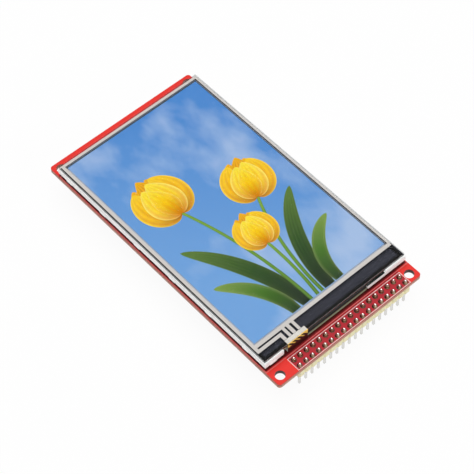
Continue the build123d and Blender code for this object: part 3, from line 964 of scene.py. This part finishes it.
@dataclass
class Picture:
    """The lit picture: a sheet of sky over the front polariser, and flowers laid over it.

    The sheet reaches close to the touch glass, where the picture seems to lie when it is looked at.
    """

    width: float = 52.8 * MM
    length: float = 87.5 * MM
    centre: tuple[float, float] = (0.40 * MM, 3.98 * MM)
    depth: float = 0.06 * MM
    blade_thickness: float = 0.0015 * MM
    layer_step: float = 0.0022 * MM
    slot: str = "polariser_film"

    def __post_init__(self) -> None:
        """Finds the sheet's level and thickness between the polariser and the touch glass."""
        self.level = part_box("touch_glass")[0].z - self.depth
        self.sheet_thickness = self.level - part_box("front_polariser")[1].z
        self.near = self.centre[1] - self.length / 2

    def sky(self) -> None:
        """Builds a plain closed sheet, a little larger than the active area."""
        x = self.centre[0] + np.linspace(-0.5, 0.5, 3) * self.width
        y = self.centre[1] + np.linspace(-0.5, 0.5, 5) * self.length
        top = np.stack([np.broadcast_to(x[None, :], (5, 3)), np.broadcast_to(y[:, None], (5, 3)),
                        np.full((5, 3), self.level)], axis=-1)
        vertices, faces = thin_shell(top, self.sheet_thickness)
        new_piece("picture_sky", vertices, faces, SkyPaint().build(), smooth=False)

    def flowers(self) -> list[Tulip]:
        """Places the flowers.

        Returns:
            Three flowers that stand in a loose fan, the tallest at the left.
        """
        near = self.near
        return [
            Tulip((-3.0 * MM, near), (-11.0 * MM, near + 50 * MM), 19 * MM, 0.16, -0.20, 4),
            Tulip((1.5 * MM, near), (10.5 * MM, near + 39 * MM), 17 * MM, -0.20, 0.26, 10),
            Tulip((-0.5 * MM, near), (1.0 * MM, near + 24 * MM), 14 * MM, 0.10, 0.04, 16),
        ]

    def leaves(self) -> list[Blade]:
        """Places the leaves.

        Returns:
            Long leaves that bend outwards, two behind the stems and two in front of them.
        """
        near = self.near
        return [
            Blade((-4.5 * MM, near), (-0.10, -0.72), 43 * MM, 3.4 * MM, Outline.LEAF, GREEN_SHADE, 1),
            Blade((4.5 * MM, near), (0.05, 0.80), 40 * MM, 3.2 * MM, Outline.LEAF, GREEN_SHADE, 2),
            Blade((-9.0 * MM, near), (-0.05, -1.05), 27 * MM, 2.9 * MM, Outline.LEAF, GREEN_LEAF, 21),
            Blade((8.5 * MM, near), (-0.08, 1.25), 26 * MM, 2.7 * MM, Outline.LEAF, GREEN_LEAF, 22),
        ]

    def lay_blades(self, name: str, blades: Iterable[Blade], material: bpy.types.Material) -> None:
        """Joins blades into one piece, with their colours on its points.

        Args:
            name: The piece's name.
            blades: The blades, each a closed thin shell at its own layer's height.
            material: The piece's material.
        """
        vertices, faces, colors, count = [], [], [], 0
        for blade in blades:
            grid, paint = blade.surface(self.level + blade.layer * self.layer_step, self.near)
            points, corners = thin_shell(grid, self.blade_thickness)
            vertices.append(points)
            faces.append(corners + count)
            colors.append(np.tile(paint.reshape(-1, 4), (2, 1)))
            count += len(points)
        piece = new_piece(name, np.vstack(vertices), np.vstack(faces), material, smooth=False)
        layer = piece.data.color_attributes.new(name=FlowerPaint.attribute, type="FLOAT_COLOR",
                                                domain="POINT")
        layer.data.foreach_set("color", np.vstack(colors).astype(np.float32).ravel())

    def build(self) -> None:
        """Builds the whole picture."""
        self.sky()
        paint = FlowerPaint().build()
        self.lay_blades("picture_leaves", self.leaves(), paint)
        for number, flower in enumerate(self.flowers(), start=1):
            self.lay_blades(f"picture_flower_{number}", flower.blades(), paint)


# Display and touch panel


@dataclass
class Display:
    """Backlight, cell, tape and flexible tail."""

    # Painted glow: the white frame plastic glows a little, standing in for light on its walls in shade.
    frame_plastic: Finish = Finish("white_frame_plastic", srgb(240, 240, 239), srgb(232, 232, 231), 0.5,
                                   glow=0.25)
    foam: Finish = Finish("white_foam", srgb(214, 213, 210), srgb(190, 190, 188), 0.9, 0.05, 1500.0, 2e-5)
    reflector: Finish = Finish("reflector_film", srgb(232, 234, 238), srgb(222, 224, 228), 0.12, 0.06,
                               300.0, 1e-6, metallic=0.9)
    acrylic: Finish = ClearFinish("clear_acrylic", srgb(240, 246, 246), srgb(232, 240, 240), 0.08, 0.04,
                                  opacity=0.35, side_opacity=0.6)
    white_film: Finish = Finish("white_film", srgb(240, 240, 240), srgb(232, 233, 234), 0.7)
    prism: Finish = Finish("prism_film", srgb(224, 228, 234), srgb(214, 220, 228), 0.25, 0.08, 2000.0, 3e-6)
    lamp: Finish = Finish("led_package", srgb(240, 236, 200), srgb(234, 226, 176), 0.5)
    amber: Finish = Finish("amber_film", srgb(176, 118, 44), srgb(158, 100, 34), 0.3, 0.1, coat=0.3)
    tape: Finish = Finish("black_tape", srgb(50, 51, 62), srgb(44, 45, 55), 0.6, 0.12, 600.0, 3e-6,
                          specular=0.15)
    polariser: Finish = Finish("polariser_film", srgb(164, 172, 186), srgb(154, 162, 176), 0.3, 0.08)
    glass: Finish = Finish("display_glass", srgb(126, 134, 136), srgb(116, 124, 126), 0.1, 0.05, coat=0.5)
    silicon: Finish = Finish("silicon", srgb(96, 98, 108), srgb(84, 86, 98), 0.15, 0.05, coat=0.3)
    # Painted sheen: the olive band low on the tail's fold stands in for its reflection.
    fold_painted_sheen: Color = srgb(182, 208, 176)
    fold_sheen_height: float = 1.85 * MM

    def tail_material(self, effects: Effects) -> bpy.types.Material:
        """Makes the flexible tail's finish.

        Args:
            effects: The shared node groups.

        Returns:
            Black film, with a painted olive sheen low on the fold.
        """
        finish = SteppedFinish("black_film", srgb(15, 27, 22), srgb(10, 20, 17), 0.35, 0.1, 500.0, 3e-6,
                               specular=0.25, under=self.fold_painted_sheen, blend=0.7 * MM,
                               level=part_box("display_tail")[0].z + self.fold_sheen_height)
        return finish.build(effects)

    def build(self, effects: Effects) -> None:
        """Dresses every node of the display.

        Args:
            effects: The shared node groups.
        """
        tape = self.tape.build(effects)
        prism = self.prism.build(effects)
        polariser = self.polariser.build(effects)
        glass = self.glass.build(effects)
        dress((
            ("backlight_frame", self.frame_plastic.build(effects)),
            ("foam_strips", self.foam.build(effects)),
            ("reflector_sheet", self.reflector.build(effects)),
            ("light_guide", self.acrylic.build(effects)),
            ("diffuser_sheet", self.white_film.build(effects)),
            ("lower_prism_sheet", prism), ("upper_prism_sheet", prism),
            ("backlight_leds", self.lamp.build(effects)),
            ("led_strip", self.amber.build(effects)),
            ("rim_tape", tape), ("ledge_tape", tape),
            ("rear_polariser", polariser), ("front_polariser", polariser),
            ("array_glass", glass), ("filter_glass", glass),
            ("driver_chip", self.silicon.build(effects)),
            ("display_tail", self.tail_material(effects))))


@dataclass
class TouchPanel:
    """Clear glass and film with the printed border between them, and the amber tail."""

    glass: Finish = ClearFinish("touch_glass", srgb(68, 86, 83), srgb(58, 76, 73), 0.06, 0.03,
                                opacity=0.006, side_opacity=0.86)
    film: Finish = ClearFinish("touch_film", srgb(200, 202, 202), srgb(190, 192, 194), 0.22, 0.06,
                               opacity=0.006, side_opacity=0.6)
    adhesive: Finish = ClearFinish("clear_adhesive", srgb(180, 180, 176), srgb(168, 168, 164), 0.4, 0.1,
                                   opacity=0.01, side_opacity=0.5)
    # Painted light: a pale grey-blue zone inside the gasket's rim, where the ink border shades it.
    gasket_rim: float = 0.55 * MM
    gasket_near_rim: float = 4.4 * MM
    gasket_painted_light: Color = srgb(190, 196, 206)
    ink: Finish = Finish("beige_ink", srgb(206, 201, 196), srgb(198, 193, 188), 0.5, 0.1, 1200.0, 2e-6)
    bonded: Color = srgb(186, 182, 174)
    # Painted shade on the tail below the lit height, low on its fold.
    shade: Color = srgb(52, 14, 12)
    lit_height: float = 1.7 * MM

    def tail_materials(self, effects: Effects) -> tuple[bpy.types.Material, bpy.types.Material]:
        """Makes the finishes of the tail, with painted shade low on the fold, below the lit height, and
        painted glow on the amber film.

        Args:
            effects: The shared node groups.

        Returns:
            The amber film, grey where it is bonded under the touch film, and the conductors.
        """
        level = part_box("touch_glass")[1].z - self.lit_height
        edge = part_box("touch_film")[0].y
        # The amber film has painted glow, and both finishes have painted shade below the level.
        film = SteppedFinish("amber_tail_film_painted_glow", srgb(252, 214, 104), srgb(244, 196, 82), 0.3, 0.1, 500.0,
                             2e-6, coat=0.3, glow=0.22, under=self.shade, level=level, beyond=self.bonded,
                             line=edge)
        conductor = SteppedFinish("touch_conductor", srgb(30, 27, 24), srgb(22, 20, 18), 0.4, 0.1,
                                  under=self.shade, level=level, beyond=self.bonded, line=edge)
        return film.build(effects), conductor.build(effects)

    def gasket_material(self, effects: Effects) -> bpy.types.Material:
        """Makes the gasket's finish.

        Args:
            effects: The shared node groups.

        Returns:
            Black adhesive, with painted light, a pale grey-blue, inside its rim, where the ink border shades
            it.
        """
        low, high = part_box("touch_gasket")
        rim = self.gasket_rim
        painted_light = Zone(self.gasket_painted_light, (low.x + rim, low.y + self.gasket_near_rim),
                     (high.x - rim, high.y - rim))
        finish = ZonedFinish("black_adhesive", srgb(34, 34, 34), srgb(26, 26, 26), 0.8, 0.08, 900.0, 6e-6,
                             specular=0.2, zones=(painted_light,))
        return finish.build(effects)

    def build(self, effects: Effects) -> None:
        """Dresses every node of the touch panel.

        Args:
            effects: The shared node groups.
        """
        tail, conductor = self.tail_materials(effects)
        dress((
            ("touch_gasket", self.gasket_material(effects)),
            ("touch_glass", self.glass.build(effects)),
            ("touch_spacer", self.adhesive.build(effects)),
            ("touch_conductors", self.ink.build(effects)),
            ("touch_film", self.film.build(effects)),
            ("touch_tail", tail),
            ("touch_tail_conductors", conductor)))


# Board, header and the parts on the back


@dataclass
class SolderJoints:
    """One hollow-sided cone of solder on each pad of the pin header."""

    pin_pitch: float = 2.54 * MM
    around: int = 20
    rows: int = 9
    pad_radius: float = 0.80 * MM
    collar: float = 0.05 * MM
    rise: float = 0.74 * MM
    unevenness: float = 0.10
    seed: int = 18

    def pin_centres(self) -> tuple[np.ndarray, float]:
        """Centre of each pin, and the half side of a pin.

        The first and last pin lie half a side inside the node's box, and the others one pitch apart.

        Returns:
            The centres, one row each, and the half side.
        """
        low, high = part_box("header_pins")
        half = (high.y - low.y - self.pin_pitch) / 2
        columns = round((high.x - low.x - 2 * half) / self.pin_pitch) + 1
        x = low.x + half + np.arange(columns) * self.pin_pitch
        y = low.y + half + np.array([0.0, self.pin_pitch])
        return np.stack(np.meshgrid(x, y), axis=-1).reshape(-1, 2), half

    def joint(self, foot: float, top_radius: float) -> tuple[np.ndarray, np.ndarray]:
        """One joint round the origin.

        The radius falls from the pad's to the pin's with the square of the height that is left, so the
        slope is hollow. A fan of four-sided faces round a pole closes it above and below.

        Args:
            foot: Level of the pad.
            top_radius: Radius where the solder meets the pin.

        Returns:
            The points and the faces.
        """
        share = np.linspace(0.0, 1.0, self.rows)
        radius = top_radius + (self.pad_radius - top_radius) * (1 - share) ** 2
        angle = np.arange(self.around) / self.around * 2 * np.pi
        height = np.broadcast_to((foot + self.rise * share)[:, None], (self.rows, self.around))
        ring = np.stack([radius[:, None] * np.cos(angle), radius[:, None] * np.sin(angle), height], axis=-1)
        ends = np.array([[0.0, 0.0, foot], [0.0, 0.0, foot + self.rise]])
        numbers = np.arange(self.rows * self.around).reshape(self.rows, self.around)
        ahead = np.roll(numbers, -1, axis=1)
        sides = np.stack([numbers[:-1], ahead[:-1], ahead[1:], numbers[1:]], axis=-1).reshape(-1, 4)
        below, above = numbers.size, numbers.size + 1
        pairs = np.arange(0, self.around, 2)
        low = np.stack([np.full(len(pairs), below), ahead[0][pairs + 1], numbers[0][pairs + 1],
                        numbers[0][pairs]], axis=1)
        high = np.stack([np.full(len(pairs), above), numbers[-1][pairs], numbers[-1][pairs + 1],
                         ahead[-1][pairs + 1]], axis=1)
        return np.vstack([ring.reshape(-1, 3), ends]), np.vstack([sides, low, high])

    def build(self, effects: Effects) -> None:
        """Builds all joints as one piece, each a little taller or wider than the next.

        Args:
            effects: The shared node groups.
        """
        centres, half = self.pin_centres()
        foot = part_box("header_solder_joints")[0].z
        points, faces = self.joint(foot, half * math.sqrt(2) + self.collar)
        random = np.random.default_rng(self.seed)
        stretch = 1 + random.uniform(-self.unevenness, self.unevenness, (len(centres), 1, 3))
        stretch[..., 1] = stretch[..., 0]
        local = points - np.array([0.0, 0.0, foot])
        offsets = np.column_stack([centres, np.full(len(centres), foot)])
        vertices = (local[None] * stretch + offsets[:, None]).reshape(-1, 3)
        corners = (faces[None] + (np.arange(len(centres)) * len(points))[:, None, None]).reshape(-1, 4)
        # The dark brown foot of each joint is flux, and also painted shade on its far side.
        finish = SolderFinish("solder", srgb(190, 172, 142), srgb(108, 88, 66), 0.26, 0.16, 900.0, 4e-6,
                              metallic=1.0, flux_and_shade=srgb(44, 16, 14), foot=foot, flux_and_shade_height=0.95 * MM)
        piece = new_piece("solder_joints", vertices, corners, finish.build(effects), smooth=True)
        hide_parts("header_solder_joints")


@dataclass
class Board:
    """Red circuit board with its printed lines, and the pin header under it."""

    laminate: Finish = LaminateFinish("board_glass_fibre", srgb(212, 160, 138), srgb(200, 146, 124), 0.55,
                                      0.1, 900.0, 4e-6, ply=srgb(158, 104, 84), stain=srgb(166, 84, 72))
    mask_tone: Color = srgb(236, 52, 42)
    mask_other_tone: Color = srgb(228, 46, 40)
    header_zone: Color = srgb(176, 30, 42)
    # Painted shadow on the mask under the display's frame and just past its rim.
    painted_shadow_tone: Color = srgb(88, 18, 18)
    painted_shadow_reach: float = 0.1 * MM
    painted_shadow_softness: float = 0.3 * MM
    thin_ink: Color = srgb(224, 112, 106)
    thin_ink_other: Color = srgb(214, 100, 96)
    full_ink: Color = srgb(238, 196, 192)
    outline_room: float = 1.2 * MM
    past_edge: float = 1.0 * MM
    header_plastic: Finish = Finish("yellow_header_plastic", srgb(255, 248, 206), srgb(252, 242, 194), 0.5)
    tinned: Finish = Finish("tinned_pin", srgb(226, 225, 222), srgb(206, 204, 200), 0.2, 0.1, 900.0, 2e-6,
                            metallic=1.0)

    def mask_material(self, effects: Effects) -> bpy.types.Material:
        """Makes the solder mask's finish.

        Args:
            effects: The shared node groups.

        Returns:
            Red lacquer, deeper from the pins up to the display, where there is no copper under it, and
            with a painted shadow under the display.
        """
        low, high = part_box("header_body")
        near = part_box("board_core")[0].y
        under_low, under_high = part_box("backlight_frame")
        reach = self.painted_shadow_reach
        header = Zone(self.header_zone, (low.x, near - self.past_edge), (high.x, under_low.y))
        # painted shadow under the display's frame
        painted_shadow = Zone(self.painted_shadow_tone, (under_low.x - reach, under_low.y - self.painted_shadow_softness),
                       (under_high.x + reach, under_high.y + reach), self.painted_shadow_softness)
        finish = ZonedFinish("red_solder_mask", self.mask_tone, self.mask_other_tone, 0.4, 0.08, 300.0,
                             3e-6, specular=0.15, zones=(header, painted_shadow))
        return finish.build(effects)

    def ink_material(self, effects: Effects) -> bpy.types.Material:
        """Makes the printed lines' finish.

        Args:
            effects: The shared node groups.

        Returns:
            White ink, full round the pins and so thin round the display that red shows through.
        """
        low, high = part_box("silkscreen_front")
        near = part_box("header_body")[0].y
        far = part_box("backlight_frame")[0].y - self.outline_room
        full = Zone(self.full_ink, (low.x - self.past_edge, near - self.past_edge),
                    (high.x + self.past_edge, far), 0.02 * MM)
        finish = ZonedFinish("white_ink", self.thin_ink, self.thin_ink_other, 0.6, zones=(full,))
        return finish.build(effects)

    def build(self, effects: Effects) -> None:
        """Dresses the board's layers and the header, and builds the solder joints.

        Args:
            effects: The shared node groups.
        """
        mask = self.mask_material(effects)
        dress((
            ("board_core", self.laminate.build(effects)),
            ("solder_mask_front", mask), ("solder_mask_back", mask),
            ("silkscreen_front", self.ink_material(effects)),
            ("header_body", self.header_plastic.build(effects)),
            ("header_pins", self.tinned.build(effects))))
        SolderJoints().build(effects)


@dataclass
class BackParts:
    """Card socket, chips and small parts on the board's back."""

    socket_plastic: Finish = Finish("black_socket_plastic", srgb(36, 36, 38), srgb(28, 28, 30), 0.6)
    steel: Finish = Finish("stamped_steel", srgb(196, 196, 194), srgb(180, 180, 178), 0.28, 0.14, 300.0,
                           3e-6, metallic=1.0)
    gold: Finish = Finish("gold_plate", srgb(224, 184, 92), srgb(208, 166, 74), 0.2, 0.08, metallic=1.0)
    chip_plastic: Finish = Finish("black_chip_plastic", srgb(44, 44, 46), srgb(36, 36, 38), 0.65, 0.08,
                                  1500.0, 5e-6)
    tin: Finish = Finish("tin_plate", srgb(206, 206, 206), srgb(186, 186, 188), 0.3, 0.12, metallic=1.0)
    capacitor: Finish = Finish("capacitor_ceramic", srgb(176, 138, 98), srgb(162, 124, 86), 0.5)
    resistor: Finish = Finish("resistor_ceramic", srgb(34, 34, 38), srgb(26, 26, 30), 0.25, 0.08, coat=0.3)

    def build(self, effects: Effects) -> None:
        """Dresses every part on the back.

        Args:
            effects: The shared node groups.
        """
        chip = self.chip_plastic.build(effects)
        tin = self.tin.build(effects)
        dress((
            ("socket_base", self.socket_plastic.build(effects)),
            ("socket_cover", self.steel.build(effects)),
            ("socket_contacts", self.gold.build(effects)),
            ("level_shifters", chip), ("touch_controller", chip), ("regulator", chip),
            ("backlight_transistor", chip),
            ("level_shifter_leads", tin), ("touch_controller_leads", tin), ("regulator_leads", tin),
            ("backlight_transistor_leads", tin), ("capacitor_ends", tin), ("resistor_ends", tin),
            ("capacitors", self.capacitor.build(effects)),
            ("resistors", self.resistor.build(effects))))


# Studio


@dataclass(frozen=True)
class SoftLight:
    """A square soft light that faces the board's centre."""

    name: str
    place: tuple[float, float, float]
    size: float
    power: float

    def build(self) -> None:
        """Makes the light."""
        data = bpy.data.lights.new(self.name, "AREA")
        data.shape = "SQUARE"
        data.size = self.size
        data.energy = self.power
        lamp = bpy.data.objects.new(self.name, data)
        lamp.location = self.place
        lamp.rotation_mode = "QUATERNION"
        lamp.rotation_quaternion = Vector(self.place).to_track_quat("Z", "Y")
        bpy.context.scene.collection.objects.link(lamp)


@dataclass
class Studio:
    """Pale floor, soft light and the photograph's camera.

    The camera looks at the board's centre from an azimuth and an elevation, is rolled a little, and is
    shifted in its own plane. The focal length is given in picture widths.
    """

    azimuth: float = math.radians(-40.071)
    elevation: float = math.radians(54.504)
    roll: float = math.radians(-1.862)
    shift: tuple[float, float] = (1.878 * MM, -5.327 * MM)
    distance: float = 524.22 * MM
    focal_widths: float = 1696.03 / 474
    sensor: float = 36.0
    sight: tuple[float, float] = (0.01, 20.0)
    floor_size: float = 4.0
    floor_tone: Color = (0.95, 0.95, 0.95, 1.0)
    floor_light_share: float = 0.06
    world_level: float = 0.14
    lights: tuple[SoftLight, ...] = (SoftLight("key_light", (0.05, 0.15, 0.90), 1.10, 9.0),
                                     SoftLight("fill_light", (0.08, -0.85, 0.50), 0.40, 2.0))

    def camera(self) -> None:
        """Puts the camera at the photograph's viewing angle.

        Back is (sin az cos el, -cos az cos el, sin el), right is (cos az, sin az, 0) and up is their
        cross product. Both are turned by the roll. The place is the shift along right and up, plus the
        distance along back, from the centre of the board's front face.
        """
        az, el = self.azimuth, self.elevation
        back = Vector((math.sin(az) * math.cos(el), -math.cos(az) * math.cos(el), math.sin(el)))
        level = Vector((math.cos(az), math.sin(az), 0.0))
        rise = back.cross(level)
        right = math.cos(self.roll) * level + math.sin(self.roll) * rise
        up = math.cos(self.roll) * rise - math.sin(self.roll) * level
        low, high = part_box("solder_mask_front")
        centre = Vector(((low.x + high.x) / 2, (low.y + high.y) / 2, high.z))
        place = centre + right * self.shift[0] + up * self.shift[1] + back * self.distance
        lens = bpy.data.cameras.new("camera")
        lens.sensor_width = self.sensor
        lens.lens = self.focal_widths * self.sensor
        lens.clip_start, lens.clip_end = self.sight
        camera = bpy.data.objects.new("camera", lens)
        matrix = Matrix((right, up, back)).transposed().to_4x4()
        matrix.translation = place
        camera.matrix_world = matrix
        bpy.context.scene.collection.objects.link(camera)
        bpy.context.scene.camera = camera

    def seen(self, graph: ShaderGraph) -> Socket:
        """Sorts the rays.

        Args:
            graph: The graph that takes the nodes.

        Returns:
            1 for a ray from the camera, a mirror or glass, and 0 for one that carries light.
        """
        path = graph.add("ShaderNodeLightPath")
        first = graph.math("MAXIMUM", path.outputs["Is Camera Ray"], path.outputs["Is Glossy Ray"])
        return graph.math("MAXIMUM", first, path.outputs["Is Transmission Ray"])

    def floor(self) -> None:
        """Builds a large level sheet under the lowest point, white where no shadow falls.

        To a seen ray it shows mostly an even glow, and the floor light's share of the lit surface.
        """
        half = self.floor_size / 2
        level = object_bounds()[0].z
        corners = [(-half, -half, level), (half, -half, level), (half, half, level), (-half, half, level)]
        mesh = bpy.data.meshes.new("floor")
        mesh.from_pydata(corners, [], [(0, 1, 2, 3)])
        material = bpy.data.materials.new("floor_paper")
        material.use_nodes = True
        graph = ShaderGraph(material.node_tree)
        material.node_tree.nodes.remove(material.node_tree.nodes["Principled BSDF"])
        diffuse = graph.add("ShaderNodeBsdfDiffuse")
        diffuse.inputs["Color"].default_value = self.floor_tone
        glow = graph.add("ShaderNodeEmission")
        glow.inputs["Color"].default_value = WHITE
        mixer = graph.add("ShaderNodeMixShader")
        graph.feed(mixer.inputs[0], graph.math("MULTIPLY", self.seen(graph), 1 - self.floor_light_share))
        graph.feed(mixer.inputs[1], diffuse.outputs[0])
        graph.feed(mixer.inputs[2], glow.outputs[0])
        output = material.node_tree.nodes["Material Output"]
        graph.feed(output.inputs["Surface"], mixer.outputs[0])
        mesh.materials.append(material)
        floor = bpy.data.objects.new("floor", mesh)
        bpy.context.scene.collection.objects.link(floor)
        floor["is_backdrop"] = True

    def world(self) -> None:
        """Builds white surroundings: plain white to the eye, and a softer level as light."""
        world = bpy.data.worlds.new("studio")
        bpy.context.scene.world = world
        world.use_nodes = True
        graph = ShaderGraph(world.node_tree)
        light = world.node_tree.nodes["Background"]
        light.inputs["Color"].default_value = WHITE
        light.inputs["Strength"].default_value = self.world_level
        shown = graph.add("ShaderNodeBackground")
        shown.inputs["Color"].default_value = WHITE
        shown.inputs["Strength"].default_value = 1.0
        mixer = graph.add("ShaderNodeMixShader")
        graph.feed(mixer.inputs[0], self.seen(graph))
        graph.feed(mixer.inputs[1], light.outputs[0])
        graph.feed(mixer.inputs[2], shown.outputs[0])
        graph.feed(world.node_tree.nodes["World Output"].inputs["Surface"], mixer.outputs[0])

    def build(self) -> None:
        """Builds the floor, the lights and the camera."""
        bpy.context.scene.view_settings.view_transform = "Standard"
        self.floor()
        self.world()
        for light in self.lights:
            light.build()
        self.camera()


def main() -> None:
    """Dresses the module, adds the picture and the solder joints, and builds the studio."""
    logging.basicConfig(level=logging.INFO, format="%(name)s: %(message)s")
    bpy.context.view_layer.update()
    effects = Effects.build()
    Board().build(effects)
    Display().build(effects)
    TouchPanel().build(effects)
    BackParts().build(effects)
    Picture().build()
    Studio().build()


if __name__ == "__main__":
    main()
